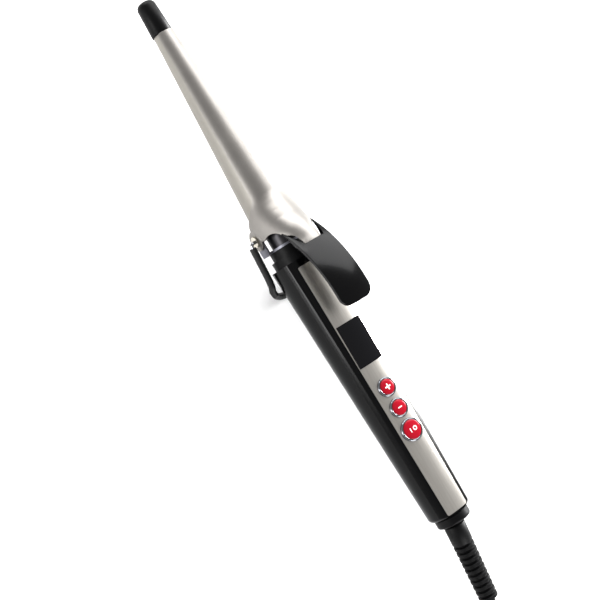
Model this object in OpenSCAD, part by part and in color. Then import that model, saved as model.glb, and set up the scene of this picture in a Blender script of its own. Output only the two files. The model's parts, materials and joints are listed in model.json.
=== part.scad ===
// Tapered curling iron with a spring clamp, fold-out stand, digital handle and swivel cord.
// Millimetres. The barrel's axis lies along Y with the cool tip at +Y, and +Z is up.
// Stations called "at" are distances along the axis from the clamp's hinge, positive to the tip.

/* [Barrel] */
// Outer diameter of the heated barrel at its small end
barrel_small_d = 11.4; // [10.6:0.1:12]
// Outer diameter of the heated barrel at its large end
barrel_large_d = 26; // [25:0.1:26.4]
// Length of the tapered barrel tube
barrel_l = 121; // [105:1:140]
// Wall of the barrel tube
barrel_wall = 0.8; // [0.5:0.1:1]
// Distance from the hinge to the barrel's large end
barrel_setback = 5; // [5:0.5:7]
// Length of the cool tip in front of the barrel
tip_l = 20.5; // [14:0.5:30]
// Diameter of the cool tip where it meets the barrel
tip_d = 12.6; // [12.2:0.1:13.4]

/* [Heater] */
// Length of the two aluminium heater shells
heater_l = 84; // [60:1:95]
// Width of the ceramic heating plate
ceramic_w = 8; // [6:0.5:9]
// Thickness of the ceramic heating plate
ceramic_t = 2.4; // [1.5:0.1:3]

/* [Clamp] */
// Thickness of the clamp's sheet metal
clamp_t = 0.95; // [0.8:0.05:1]
// Angle of the barrel's circumference that the clamp covers
clamp_angle = 102; // [80:1:120]
// Distance from the hinge to the front end of the flared saddle
saddle_l = 20; // [18:0.5:24]
// Half the width over the two hinge ears
ear_x = 15.4; // [15.2:0.05:15.6]
// Radius of each hinge ear
ear_r = 6; // [5:0.25:6.5]
// Drop of the hinge axis below the barrel's axis
hinge_drop = 3; // [2:0.25:4]

/* [Thumb lever] */
// Length of the thumb lever, front to rear
lever_l = 40.7; // [34:0.5:44]
// Width of the thumb lever
lever_w = 20.5; // [16:0.5:24]
// Thickness of the thumb lever
lever_t = 3.2; // [3:0.1:4]
// Radius of the lever's long convex curve
lever_r = 61.6; // [58:0.2:66]

/* [Handle] */
// Diameter of the handle at its front end
handle_front_d = 33.4; // [33:0.1:33.8]
// Diameter of the handle at its rear end
handle_rear_d = 25.4; // [25:0.1:28]
// Length of the handle's two shells
handle_l = 164; // [158:1:172]
// Wall of the handle shells
handle_wall = 2.2; // [1.8:0.1:2.4]
// Height of the flatter top over the axis, as a share of the handle's radius
top_share = 0.825; // [0.815:0.005:0.9]
// Radius of the flatter top's arc across the handle
top_r = 26; // [25:0.5:34]

/* [Controls] */
// Thickness of the brushed metal fascia
fascia_t = 0.8; // [0.6:0.1:1]
// Half width of the fascia at its front end
fascia_front_x = 9.3; // [8.5:0.1:10]
// Half width of the fascia at its rear end
fascia_rear_x = 7.2; // [7.1:0.05:8.5]
// Length of the display window
window_l = 26; // [20:0.5:28]
// Diameter of the two small button caps
button_d = 8.9; // [8:0.1:9.2]
// Diameter of the power button's cap
power_d = 11.1; // [10:0.1:11.4]
// Width of the chrome ring round each button
bezel_w = 1.1; // [0.8:0.1:1.2]
// Travel of the buttons
button_travel = 0.6; // [0.4:0.05:0.8]

/* [Stand] */
// Diameter of the stand's wire
stand_wire_d = 2; // [1.6:0.1:2.4]
// Outer diameter of the stand's heat sleeve
sleeve_d = 4; // [3.4:0.1:4.2]
// Distance of each stand arm from the middle plane
stand_x = 19; // [18.8:0.1:20]
// Depth of the stand's loop below the barrel's axis
stand_drop = 20; // [19.6:0.1:22]

/* [Cord] */
// Diameter of the power cord
cord_d = 6; // [5.6:0.1:6.4]
// Length of the ribbed strain relief
relief_l = 50; // [40:1:60]
// Diameter of the strain relief at its base
relief_base_d = 12.6; // [12:0.1:13.2]
// Diameter of the strain relief at its end
relief_end_d = 11.3; // [9:0.1:11.8]
// Droop of the strain relief below the handle's axis, in degrees
relief_droop = 11.4; // [8:0.2:13]
// Radius of the swivel ball
ball_r = 7.5; // [7:0.1:8]
// Radius of the folded cord's inner turns at each fold
hank_fold_r = 18; // [18:0.5:20]
// Straight run between the hank's folds
hank_run = 98.5; // [90:0.5:120]

/* [Plug] */
// Diameter of each plug pin
pin_d = 4; // [3.8:0.05:4.2]
// Distance between the two plug pins
pin_pitch = 18.6; // [18:0.1:19]
// Length of each plug pin
pin_l = 19; // [18:0.5:20]
// Length of the plug's body
plug_l = 36; // [30:1:42]

/* [Hidden] */
$fn = 72;

fit = 0.05;          // running clearance of pins, wire and ball, on the radius
seat = 0.1;          // clearance of a seated piece, all round
clamp_gap = 0.15;    // clearance of the clamp over the barrel

// Stations along the axis
barrel_at = barrel_setback;
tip_at = barrel_setback + barrel_l;
collar_at = -10.4;
collar_step = 5;
handle_at = collar_at - 2 * collar_step;
rear_at = handle_at - handle_l;
ring_seam = 0.6;
ring_l = 5;
ring_end_at = rear_at - ring_seam - ring_l;
ball_at = rear_at + 6.4;
relief_start = 13.6;             // from the ball's centre to the relief's base
relief_end = relief_start + relief_l;
tip_end_at = tip_at + tip_l;
tail_end_at = ball_at - relief_end * cos(relief_droop) - relief_end_d / 2 * sin(relief_droop);
hinge_y = -(tip_end_at + tail_end_at) / 2;
axis_z = stand_drop + sleeve_d / 2;

// Barrel taper
taper = (barrel_large_d - barrel_small_d) / 2 / barrel_l;
function barrel_r(at) = barrel_small_d / 2 + (tip_at - at) * taper;

// Handle taper, and the height of its flatter top
handle_slope = (handle_front_d - handle_rear_d) / 2 / handle_l;
function handle_r(at) = handle_front_d / 2 + (at - handle_at) * handle_slope;
function top_h(at) = top_share * handle_r(at);
top_tilt = atan(top_share * handle_slope);

// Hinge
rivet_r = 2;
stand_bore_r = stand_wire_d / 2 + fit;
ear_bore_r = rivet_r + fit;
bracket_t = 1;
bracket_gap = 0.15;
bracket_x = ear_x - clamp_t - bracket_gap;      // outer face of each bracket arm
bracket_depth = 1.4;
bracket_at = collar_at + bracket_depth;
rivet_head_r = 3.2;
rivet_head_t = 0.7;
spring_wire_d = 0.8;
spring_turns = 2;
rivet_inner_x = bracket_x - bracket_t - spring_turns * spring_wire_d - 1.2;
neck_r = 9.4;
neck_wall = 1.4;

// Lever's curve: centre of the arc in the side view, and the sheet's tongue inside the pad
lever_at = -15.7;
lever_centre_at = -48.2;
lever_crest = 38;                               // height of the pad's crest over the axis
lever_centre_h = lever_crest - lever_r;
tongue_r = lever_r - 1;
tongue_x = 5.3;
tongue_end_at = lever_at - 27;
tongue_root_at = -16;
tongue_root_h = lever_centre_h + sqrt(pow(tongue_r, 2) - pow(tongue_root_at - lever_centre_at, 2));
lever_rivets_at = [-24, -36];

// Controls
fascia_at = handle_at - 4.2;
fascia_end_at = rear_at + 1;
fascia_lift = 0.25;
window_at = fascia_at - 39;
window_rail = 0.45;
window_t = 1.5;
buttons_at = [window_at - window_l - 15.7, window_at - window_l - 28.8, window_at - window_l - 42.8];
buttons_d = [button_d, button_d, power_d];
bezel_h = 1.1;
board_top = 3.1;
board_t = 1.6;
board_base = board_top - board_t;
board_w = 17;
board_at = -58;
switch_h = 2.9;
plunger_h = 0.9;
button_base = board_top + switch_h + plunger_h + button_travel + seat;
button_rim = 0.8;
button_dome = 0.7;

// Shell screws and bosses
screws_at = [-42, rear_at + 20.5];
screw_d = 3;
boss_r = 3.1;
screw_head_r = 2.75;
board_margin = 8.8;
board_l = board_at - (screws_at[1] + boss_r + board_margin);
board_screws_at = [board_at - 6, board_at - board_l + 5];
board_screw_x = 5.5;
board_screw_d = 2.1;
board_screw_head_d = 4;
board_screw_head_t = 1.2;
board_screw_l = 6;
board_post_r = 2.2;

// Stand loop
loop_centre_h = -7;
loop_at = -29;
loop_lean = 5;

// Cord, hank and plug
hank_start_y = -263;
hank_inner = hank_fold_r - cord_d / 2;
hank_outer = hank_inner + 2 * cord_d;
hank_h = 3 * cord_d;
floor_cord = cord_d / 2;
relief_end_y = hinge_y + ball_at - relief_end * cos(relief_droop);
relief_end_z = axis_z - relief_end * sin(relief_droop);
lead_route = [[1.2, -212.9, 5.7], [4.5, -221.3, 4.6], [9.3, -229.7, 3.8], [14.7, -237.9, 3.3],
    [19.5, -246.3, 3.1], [22.8, -254.6, 3], [24, -263, 3]];
plug_w = 35;
plug_t = 14;
tail_route = [[18, -268, 15], [17.1, -275.7, 15.6], [14.6, -283.4, 17.1], [11, -291.2, 19.4],
    [7, -298.8, 21.9], [3.4, -306.6, 24.2], [0.9, -314.3, 25.7], [0, -322, 26.3]];

// Places children on the axis: their Z runs to the tip and their Y is up
module along_axis(at = 0) {
    translate([0, hinge_y + at, axis_z]) rotate([90, 0, 180]) children();
}

// Places children at a station and a height over the axis, unturned
module at_station(at, h = 0, x = 0) {
    translate([x, hinge_y + at, axis_z + h]) children();
}

// A round bar across the part, from x0 to x1, on the hinge axis
module cross_bar(r, x0, x1) {
    at_station(0, -hinge_drop) translate([x0, 0, 0]) rotate([0, 90, 0]) cylinder(r = r, h = x1 - x0);
}

// A ring or cone round the axis between two stations
module round_slice(from, to, r_from, r_to) {
    along_axis(to) cylinder(r1 = r_to, r2 = r_from, h = from - to);
}

// Points and faces of a tube swept along a route, with a bore where one is given.
// Each ring's first direction is carried over from the ring before, so the tube doesn't twist.
function unit(v) = v / norm(v);
function tangent(p, i) = unit(p[min(i + 1, len(p) - 1)] - p[max(i - 1, 0)]);
function level_side(t) = unit(cross(t, abs(t[0]) < 0.9 ? [1, 0, 0] : [0, 0, 1]));
function carried(t, u) = unit(u - (u * t) * t);
function sides_along(p, u, i = 0) = i == len(p) ? [] :
    let (v = carried(tangent(p, i), u)) concat([v], sides_along(p, v, i + 1));
function ring_points(c, t, u, r, sides) = let (v = cross(t, u))
    [for (k = [0:sides - 1]) c + r * (cos(360 * k / sides) * u + sin(360 * k / sides) * v)];
function sweep_points(p, r, sides) = let (u = sides_along(p, level_side(tangent(p, 0))))
    [for (i = [0:len(p) - 1]) each ring_points(p[i], tangent(p, i), u[i], r, sides)];
// The two triangles of a four-cornered patch
function patch(a, b, c, d) = [[a, b, c], [a, c, d]];
function wall_faces(rings, n, first, out) = [
    for (i = [0:rings - 2]) for (k = [0:n - 1])
        let (a = first + i * n + k, b = first + i * n + (k + 1) % n)
        each out ? patch(a, a + n, b + n, b) : patch(a, b, b + n, a + n)];
function cap_faces(n, first, second) = [
    for (k = [0:n - 1]) each patch(first + k, first + (k + 1) % n, second + (k + 1) % n, second + k)];
module swept_tube(p, r, sides, bore = 0) {
    rings = len(p);
    last = (rings - 1) * sides;
    inner = rings * sides;
    if (bore == 0)
        polyhedron(sweep_points(p, r, sides), concat(wall_faces(rings, sides, 0, true), [
            [for (k = [0:sides - 1]) k],
            [for (k = [sides - 1:-1:0]) last + k]]), convexity = 8);
    else
        polyhedron(concat(sweep_points(p, r, sides), sweep_points(p, bore, sides)),
            concat(wall_faces(rings, sides, 0, true), wall_faces(rings, sides, inner, false),
                cap_faces(sides, 0, inner), cap_faces(sides, inner + last, last)), convexity = 8);
}

// A smooth curve through given points, some steps to each span
function knot(p, i) = p[max(0, min(len(p) - 1, i))];
function on_curve(p, i, u) =
    let (a = knot(p, i - 1), b = knot(p, i), c = knot(p, i + 1), d = knot(p, i + 2))
    b + u * (c - a) / 2 + u * u * (a - 2.5 * b + 2 * c - d / 2) + u * u * u * (-a + 3 * b - 3 * c + d) / 2;
function smooth_curve(p, steps) =
    [for (i = [0:len(p) - 2]) for (s = [0:steps - 1]) on_curve(p, i, s / steps), p[len(p) - 1]];

// Barrel and cool tip
module barrel() {
    color("silver") difference() {
        round_slice(tip_at, barrel_at, barrel_small_d / 2, barrel_large_d / 2);
        round_slice(tip_at + 1, barrel_at - 1, barrel_r(tip_at + 1) - barrel_wall,
            barrel_r(barrel_at - 1) - barrel_wall);
    }
}

spigot_l = 7;
tip_round = 3.2;
tip_end_r = tip_d / 2 - 0.7;
module cool_tip() {
    color("#1a1a1c") along_axis(tip_at) rotate_extrude() union() {
        polygon([[0, 0], [tip_d / 2, 0], [tip_end_r, tip_l - tip_round],
            [tip_end_r - tip_round, tip_l], [0, tip_l]]);
        intersection() {
            translate([tip_end_r - tip_round, tip_l - tip_round]) circle(r = tip_round);
            square([tip_end_r + 1, tip_l]);
        }
        translate([0, -spigot_l]) square([barrel_r(tip_at) - barrel_wall - fit, spigot_l]);
    }
}

// Heater: two half-round shells pressed against the barrel, with the ceramic plate between
heater_at = barrel_at + 16;
heater_skin = 0.2;
plate_gap = 0.25;
spring_t = 0.25;
module heater_half(up) {
    slot_h = ceramic_t / 2 + (up ? 0 : spring_t);
    color("lightgray") difference() {
        round_slice(heater_at + heater_l, heater_at,
            barrel_r(heater_at + heater_l) - barrel_wall - heater_skin,
            barrel_r(heater_at) - barrel_wall - heater_skin);
        at_station(heater_at + heater_l / 2, up ? -20 + plate_gap : 20 - plate_gap)
            cube([40, heater_l + 2, 40], center = true);
        at_station(heater_at + heater_l / 2)
            cube([ceramic_w + 2 * plate_gap, heater_l + 2, 2 * slot_h], center = true);
        if (!up) at_station(heater_at + 20, -4.5) rotate([90, 0, 0])
            cylinder(r = 1.3, h = 60, center = true);
    }
}
module heater_shell_upper() { heater_half(true); }
module heater_shell_lower() { heater_half(false); }
module ceramic_heater() {
    color("ivory") at_station(heater_at + heater_l / 2)
        cube([ceramic_w, heater_l - 6, ceramic_t], center = true);
}
module heater_spring() {
    color("gray") at_station(heater_at + heater_l / 2, -ceramic_t / 2 - spring_t / 2)
        cube([ceramic_w - 1, heater_l - 14, spring_t], center = true);
}
module temperature_sensor() {
    color("tan") at_station(heater_at + 20, -4.5) rotate([90, 0, 0]) {
        cylinder(r = 1.2, h = 5, center = true);
        translate([0, 0, 2.5]) cylinder(r = 0.4, h = 14);
    }
}
module thermal_fuse() {
    color("silver") at_station(heater_at - 2, 5.4) rotate([90, 0, 0]) {
        cylinder(r = 2, h = 7);
        translate([0, 0, 7]) cylinder(r = 0.5, h = 3);
    }
}

// Insulating disc that closes the barrel's base and centres it on the neck
lead_x = 5.5;
lead_r = 1;
lead_h = board_top - board_t - lead_r;
neck_flange_l = 4;
insulator_at = barrel_at + neck_flange_l;
insulator_l = 2.4;
module base_insulator() {
    color("wheat") difference() {
        round_slice(insulator_at + insulator_l, insulator_at,
            barrel_r(insulator_at + insulator_l) - barrel_wall - fit,
            barrel_r(insulator_at) - barrel_wall - fit);
        for (side = [-1, 1]) along_axis(insulator_at - 1) translate([side * lead_x, lead_h, 0])
            cylinder(r = lead_r + seat, h = insulator_l + 2);
        at_station(insulator_at, 5.4) rotate([90, 0, 0])
            cylinder(r = 0.6, h = 12, center = true);
    }
}

// Neck: carries the barrel in the handle
neck_end_at = handle_at - 8.6;
neck_rim_r = 11.8;
module neck() {
    color("#3a3a3e") along_axis(0) rotate_extrude() difference() {
        union() {
            translate([0, neck_end_at]) square([neck_r, barrel_at + neck_flange_l - neck_end_at]);
            translate([0, neck_end_at]) square([neck_rim_r, 1.5]);
            translate([0, barrel_at]) polygon([[0, 0], [barrel_r(barrel_at) - barrel_wall - fit, 0],
                [barrel_r(barrel_at + neck_flange_l) - barrel_wall - fit, neck_flange_l],
                [0, neck_flange_l]]);
        }
        translate([-1, neck_end_at - 1])
            square([neck_r - neck_wall + 1, barrel_at + neck_flange_l - neck_end_at + 2]);
    }
}

// Bracket: a bent strip round the neck that carries the hinge rivets
bracket_h = 9;
module hinge_bracket() {
    color("silver") difference() {
        union() {
            at_station(bracket_at - bracket_depth / 2, -hinge_drop)
                cube([2 * bracket_x, bracket_depth, bracket_h], center = true);
            along_axis(bracket_at - bracket_depth) cylinder(r = neck_r + 2.4, h = bracket_depth);
            for (side = [-1, 1]) {
                at_station(bracket_at / 2, -hinge_drop, side * (bracket_x - bracket_t / 2))
                    cube([bracket_t, -bracket_at, bracket_h], center = true);
                cross_bar(bracket_h / 2, side > 0 ? bracket_x - bracket_t : -bracket_x,
                    side > 0 ? bracket_x : -bracket_x + bracket_t);
            }
        }
        along_axis(bracket_at - bracket_depth - 1) cylinder(r = neck_r + fit, h = bracket_depth + 2);
        cross_bar(rivet_r + fit / 2, -bracket_x - 1, bracket_x + 1);
    }
}

// Hollow rivets: the ears turn on them, and the stand's wire ends sit in them
module hinge_rivets() {
    outer_x = ear_x + bracket_gap;
    color("silver") for (side = [-1, 1]) difference() {
        union() {
            cross_bar(rivet_r, side > 0 ? rivet_inner_x : -outer_x, side > 0 ? outer_x : -rivet_inner_x);
            cross_bar(rivet_head_r, side > 0 ? outer_x : -outer_x - rivet_head_t,
                side > 0 ? outer_x + rivet_head_t : -outer_x);
        }
        cross_bar(stand_bore_r, -outer_x - 2, outer_x + 2);
    }
}

// Torsion springs round the rivets: each has one leg on the bracket and one on the tongue
spring_r = rivet_r + spring_wire_d / 2 + 0.15;
module clamp_springs() {
    coil_x0 = bracket_x - bracket_t - spring_turns * spring_wire_d - 0.5;
    color("dimgray") for (side = [-1, 1]) at_station(0, -hinge_drop) mirror([side > 0 ? 0 : 1, 0, 0])
        swept_tube(concat(
            [[coil_x0, -7.4, -spring_r]],
            [for (k = [0:spring_turns * 12]) [coil_x0 + k / 12 * spring_wire_d,
                -spring_r * sin(30 * k), -spring_r * cos(30 * k)]],
            [[coil_x0 + spring_turns * spring_wire_d, 8, -spring_r]]), spring_wire_d / 2, 8);
}

// Clamp: a tapered trough over the barrel, a flared saddle with two ears, and the lever's tongue
// Each saddle section is [station, crest height, half width, depth of its oval, edge angle]
saddle_r = barrel_r(saddle_l) + clamp_gap + clamp_t;
saddle_x = ear_x - 0.02;
seam = 0.05;                                    // hairline between two formed stretches of the sheet
lip = 0.25;                                     // inset of the lips that join them
saddle_sections = [
    [saddle_l - seam, saddle_r, saddle_r, saddle_r, clamp_angle / 2],
    [15, saddle_r + 1.3, saddle_r + 0.4, saddle_r + 1.3, 72],
    [9, saddle_r + 3.9, ear_x - 0.5, saddle_r + 3.9, 96],
    [4, saddle_r + 6.4, saddle_x, saddle_r + 6.4, 98],
    [0, saddle_r + 8.8, saddle_x, saddle_r + 8.8, 98],
    [-4, saddle_r + 10.9, saddle_x, saddle_r + 10.9, 60],
    [-8, saddle_r + 12.5, ear_x - 2, 20, 34],
    [-12, saddle_r + 13.6, 11.5, 12, 31],
    [tongue_root_at, tongue_root_h, 11, 6, 29]];
saddle_steps = 3;
section_steps = 16;
function section_point(s, k, inset) =
    let (phi = s[4] * (2 * k / section_steps - 1))
    [(s[2] - inset) * sin(phi), s[0], s[1] - s[3] + (s[3] - inset) * cos(phi)];
function saddle_points(inset) = [for (s = smooth_curve(saddle_sections, saddle_steps))
    for (k = [0:section_steps]) section_point(s, k, inset)];
module saddle_sheet() {
    rows = saddle_steps * (len(saddle_sections) - 1) + 1;
    n = section_steps + 1;
    inner = rows * n;
    last = (rows - 1) * n;
    faces = concat(
        [for (i = [0:rows - 2]) for (k = [0:n - 2]) let (a = i * n + k)
            each patch(a, a + 1, a + n + 1, a + n)],
        [for (i = [0:rows - 2]) for (k = [0:n - 2]) let (a = inner + i * n + k)
            each patch(a, a + n, a + n + 1, a + 1)],
        [for (i = [0:rows - 2]) let (a = i * n) each patch(a, a + n, inner + a + n, inner + a)],
        [for (i = [0:rows - 2]) let (a = i * n + n - 1)
            each patch(a, inner + a, inner + a + n, a + n)],
        [for (k = [0:n - 2]) each patch(k, inner + k, inner + k + 1, k + 1)],
        [for (k = [last:last + n - 2]) each patch(k, k + 1, inner + k + 1, inner + k)]);
    at_station(0) polyhedron(concat(saddle_points(0), saddle_points(clamp_t)), faces, convexity = 8);
}
arch_r = 8.7;
arch_at = -10;
arch_h = 11;
module clamp() {
    color("#b9b4ab") union() {
        along_axis(saddle_l) rotate([0, 0, 90 - clamp_angle / 2])
            rotate_extrude(angle = clamp_angle) polygon([
                [saddle_r - clamp_t, 0], [saddle_r, 0],
                [barrel_r(tip_at) + clamp_gap + clamp_t, tip_at - saddle_l],
                [barrel_r(tip_at) + clamp_gap, tip_at - saddle_l]]);
        along_axis(saddle_l) rotate([0, 0, 92 - clamp_angle / 2])
            rotate_extrude(angle = clamp_angle - 4) translate([saddle_r - clamp_t + lip, -0.6])
                square([clamp_t - 2 * lip, 1.2]);
        difference() {
            saddle_sheet();
            at_station(arch_at, arch_h) rotate([0, 90, 0]) cylinder(r = arch_r, h = 60, center = true);
            at_station(arch_at - 10, arch_h - 15) cube([60, 20 + 2 * arch_r - 4, 30], center = true);
            cross_bar(ear_r - 0.5, -ear_x - 2, ear_x + 2);
        }
        for (side = [-1, 1]) difference() {
            cross_bar(ear_r, side > 0 ? ear_x - clamp_t : -ear_x, side > 0 ? ear_x : -ear_x + clamp_t);
            cross_bar(ear_bore_r, -ear_x - 2, ear_x + 2);
        }
        difference() {
            lever_arc(tongue_root_at - seam, tongue_end_at, tongue_r, tongue_r - clamp_t, tongue_x);
            lever_holes(1.3);
        }
        lever_arc(tongue_root_at + 0.5, tongue_root_at - 1, tongue_r - lip, tongue_r - clamp_t + lip,
            tongue_x - 1);
    }
}

// A curved plate that follows the lever's long arc
module lever_arc(from, to, r_out, r_in, half_w) {
    intersection() {
        at_station(lever_centre_at, lever_centre_h) rotate([0, 90, 0]) difference() {
            cylinder(r = r_out, h = 2 * half_w, center = true, $fn = 180);
            cylinder(r = r_in, h = 2 * half_w + 2, center = true, $fn = 180);
        }
        at_station((from + to) / 2, lever_crest) cube([2 * half_w + 2, from - to, 60], center = true);
    }
}
module on_lever(at) {
    at_station(lever_centre_at, lever_centre_h)
        rotate([-asin((at - lever_centre_at) / tongue_r), 0, 0]) children();
}
module lever_holes(r) {
    for (at = lever_rivets_at) on_lever(at) translate([0, 0, lever_r - lever_t - 2])
        cylinder(r = r, h = lever_t + 1.2);
}
lever_corner_r = 6;
module thumb_lever() {
    end_at = lever_at - lever_l;
    color("#141416") difference() {
        intersection() {
            lever_arc(lever_at, end_at, lever_r, lever_r - lever_t, lever_w / 2);
            at_station(0) linear_extrude(100, center = true) union() {
                translate([-lever_w / 2, end_at + lever_corner_r])
                    square([lever_w, lever_l - lever_corner_r + 1]);
                translate([-lever_w / 2 + lever_corner_r, end_at])
                    square([lever_w - 2 * lever_corner_r, lever_l]);
                for (side = [-1, 1])
                    translate([side * (lever_w / 2 - lever_corner_r), end_at + lever_corner_r])
                        circle(r = lever_corner_r);
            }
        }
        lever_arc(lever_at + 1, tongue_end_at - seat, tongue_r + fit, tongue_r - clamp_t - fit,
            tongue_x + seat);
        lever_holes(1.35);
    }
}
module lever_rivets() {
    color("silver") for (at = lever_rivets_at) on_lever(at) translate([0, 0, lever_r - lever_t]) {
        translate([0, 0, -0.9]) cylinder(r = 2.4, h = 0.8);
        translate([0, 0, -0.2]) cylinder(r = 1.25, h = lever_t - 1);
    }
}

// Stand: a wire bail on the hollow rivets, in a heat-proof sleeve
stand_arm = [[stand_x, -2.4, -3.2], [stand_x, -8, -4], [stand_x, -15, -5], [stand_x, -22, -6.2],
    [stand_x, -26, -7.4], [stand_x, -28.4, -9.4]];
function mirrored(p) = [for (i = [len(p) - 1:-1:0]) [-p[i][0], p[i][1], p[i][2]]];
loop_arc = [for (t = [18:12:162]) [stand_x * cos(t), loop_at - loop_lean * sin(t),
    loop_centre_h - (stand_drop + loop_centre_h) * sin(t)]];
stand_route = concat(stand_arm, loop_arc, mirrored(stand_arm));
wire_inner_x = rivet_inner_x + 0.3;
pivot_x = stand_x - 2.2;                        // outer end of the wire's straight pivot
wire_bend = 2;
wire_corner = concat([[pivot_x - 0.5, 0, -hinge_drop]], [for (t = [0:30:60])
    [stand_x - wire_bend + wire_bend * sin(t), -wire_bend + wire_bend * cos(t), -hinge_drop]]);
module stand_wire() {
    color("silver") {
        for (side = [-1, 1])
            cross_bar(stand_wire_d / 2, side > 0 ? wire_inner_x : -pivot_x,
                side > 0 ? pivot_x : -wire_inner_x);
        at_station(0) swept_tube(concat(wire_corner, stand_route, mirrored(wire_corner)),
            stand_wire_d / 2 - 0.02, 10);
    }
}
module stand_sleeve() {
    color("#1c1c1e") at_station(0) swept_tube(stand_route, sleeve_d / 2, 12, stand_wire_d / 2 + fit);
}

// Handle: a tapered round body with a flatter top, in two shells
module handle_solid(inset, from, to) {
    intersection() {
        round_slice(from, to, handle_r(from) - inset, handle_r(to) - inset);
        top_cylinder(-inset);
    }
}
module top_cylinder(lift) {
    at_station(handle_at, top_h(handle_at) - top_r) rotate([90 + top_tilt, 0, 0])
        translate([0, 0, -60]) cylinder(r = top_r + lift, h = handle_l + 120, $fn = 180);
}
// Height of the curved top, or of a layer under it, over the axis
function layer_h(at, lift) = top_h(handle_at) - top_r - (handle_at - at) * tan(top_tilt)
    + (top_r + lift) / cos(top_tilt);

module rear_fillet_tool() {
    along_axis(rear_at) rotate_extrude() difference() {
        translate([handle_rear_d / 2 - 2.5, -1]) square([5, 3.5]);
        translate([handle_rear_d / 2 - 2.5, 2.5]) circle(r = 2.5 + handle_slope * 2.5 + 0.02);
    }
}
ring_spigot_r = 8.6;
ring_spigot_l = 3;
module handle_cavity() {
    difference() {
        handle_solid(handle_wall, handle_at - handle_wall, rear_at + handle_wall);
        // Rib that seats the ball from the front
        round_slice(ball_at + 8, ball_at + 3, handle_front_d, handle_front_d);
    }
    // Room for the collar's spigot, the ball and the ring's spigot
    along_axis(handle_at - 8.6) cylinder(r = collar_spigot_r + seat, h = 20);
    along_axis(ball_at) sphere(r = ball_r + fit);
    along_axis(rear_at - 1) cylinder(r = ring_spigot_r + seat, h = ring_spigot_l + 1);
    along_axis(ball_at) cylinder(r = 4.6, h = 12);
}
module half_space(up) {
    at_station(rear_at + handle_l / 2, up ? 25 : -25) cube([80, handle_l + 2, 50], center = true);
}
module handle_upper() {
    color("#141416") difference() {
        union() {
            difference() {
                handle_solid(0, handle_at, rear_at);
                handle_cavity();
            }
            intersection() {
                handle_solid(handle_wall / 2, handle_at - 1, rear_at + 1);
                union() for (at = screws_at) at_station(at) cylinder(r = boss_r, h = 30);
            }
        }
        half_space(false);
        rear_fillet_tool();
        fascia_outline(seat, fascia_t - fascia_lift + seat);
        window_hole(-1.6);
        for (i = [0:2]) at_station(buttons_at[i]) cylinder(d = buttons_d[i] + 2 * seat, h = 40);
        for (at = screws_at) at_station(at, -1) cylinder(d = screw_d, h = 9);
    }
}
module handle_lower() {
    color("#141416") difference() {
        union() {
            difference() {
                handle_solid(0, handle_at, rear_at);
                handle_cavity();
            }
            intersection() {
                handle_solid(handle_wall / 2, handle_at - 1, rear_at + 1);
                union() {
                    for (at = screws_at) at_station(at, -30) cylinder(r = boss_r, h = 30);
                    for (at = board_screws_at) for (side = [-1, 1])
                        at_station(at, -30, side * board_screw_x)
                            cylinder(r = board_post_r, h = 30 + board_top - board_t);
                }
            }
        }
        difference() {
            half_space(true);
            for (at = board_screws_at) for (side = [-1, 1])
                at_station(at, -1, side * board_screw_x) cylinder(r = board_post_r, h = 2 + board_base);
        }
        rear_fillet_tool();
        for (at = screws_at) {
            at_station(at, -30) cylinder(d = screw_d + 2 * seat, h = 31);
            at_station(at, -handle_r(at) - 1) cylinder(r = screw_head_r + seat, h = 5);
        }
        for (at = board_screws_at) for (side = [-1, 1])
            at_station(at, -6, side * board_screw_x) cylinder(d = board_screw_d + 0.1, h = 12);
    }
}
module shell_screws() {
    color("dimgray") for (at = screws_at) {
        at_station(at, -handle_r(at) + 2) cylinder(r = screw_head_r, h = 2);
        at_station(at, -handle_r(at) + 4) cylinder(d = screw_d - 2 * fit, h = handle_r(at) + 3);
    }
}

// Collar: two steps in front of the handle, with a spigot that the shells close on
collar_spigot_r = 12.2;
module front_collar() {
    color("#1a1a1c") difference() {
        union() {
            round_slice(collar_at, collar_at - collar_step, handle_front_d / 2 - 4.4,
                handle_front_d / 2 - 4.4);
            round_slice(collar_at - collar_step, handle_at, handle_front_d / 2 - 2.8,
                handle_front_d / 2 - 2.8);
            round_slice(handle_at, neck_end_at + 1.6, collar_spigot_r, collar_spigot_r);
        }
        along_axis(neck_end_at) cylinder(r = neck_r + fit, h = 40);
    }
}

// Fascia: brushed sheet along the flatter top, with the window's and the buttons' openings
fascia_corner = 0.8;
module fascia_plan(grow) {
    y0 = fascia_end_at - grow;
    y1 = fascia_at + grow;
    x0 = fascia_rear_x + grow;
    x1 = fascia_front_x + grow;
    polygon([[-x0, y0 + fascia_corner], [-x0 + 0.3 * fascia_corner, y0 + 0.3 * fascia_corner],
        [-x0 + fascia_corner, y0], [x0 - fascia_corner, y0],
        [x0 - 0.3 * fascia_corner, y0 + 0.3 * fascia_corner], [x0, y0 + fascia_corner],
        [x1, y1 - fascia_corner], [x1 - 0.3 * fascia_corner, y1 - 0.3 * fascia_corner],
        [x1 - fascia_corner, y1], [-x1 + fascia_corner, y1],
        [-x1 + 0.3 * fascia_corner, y1 - 0.3 * fascia_corner], [-x1, y1 - fascia_corner]]);
}
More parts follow.
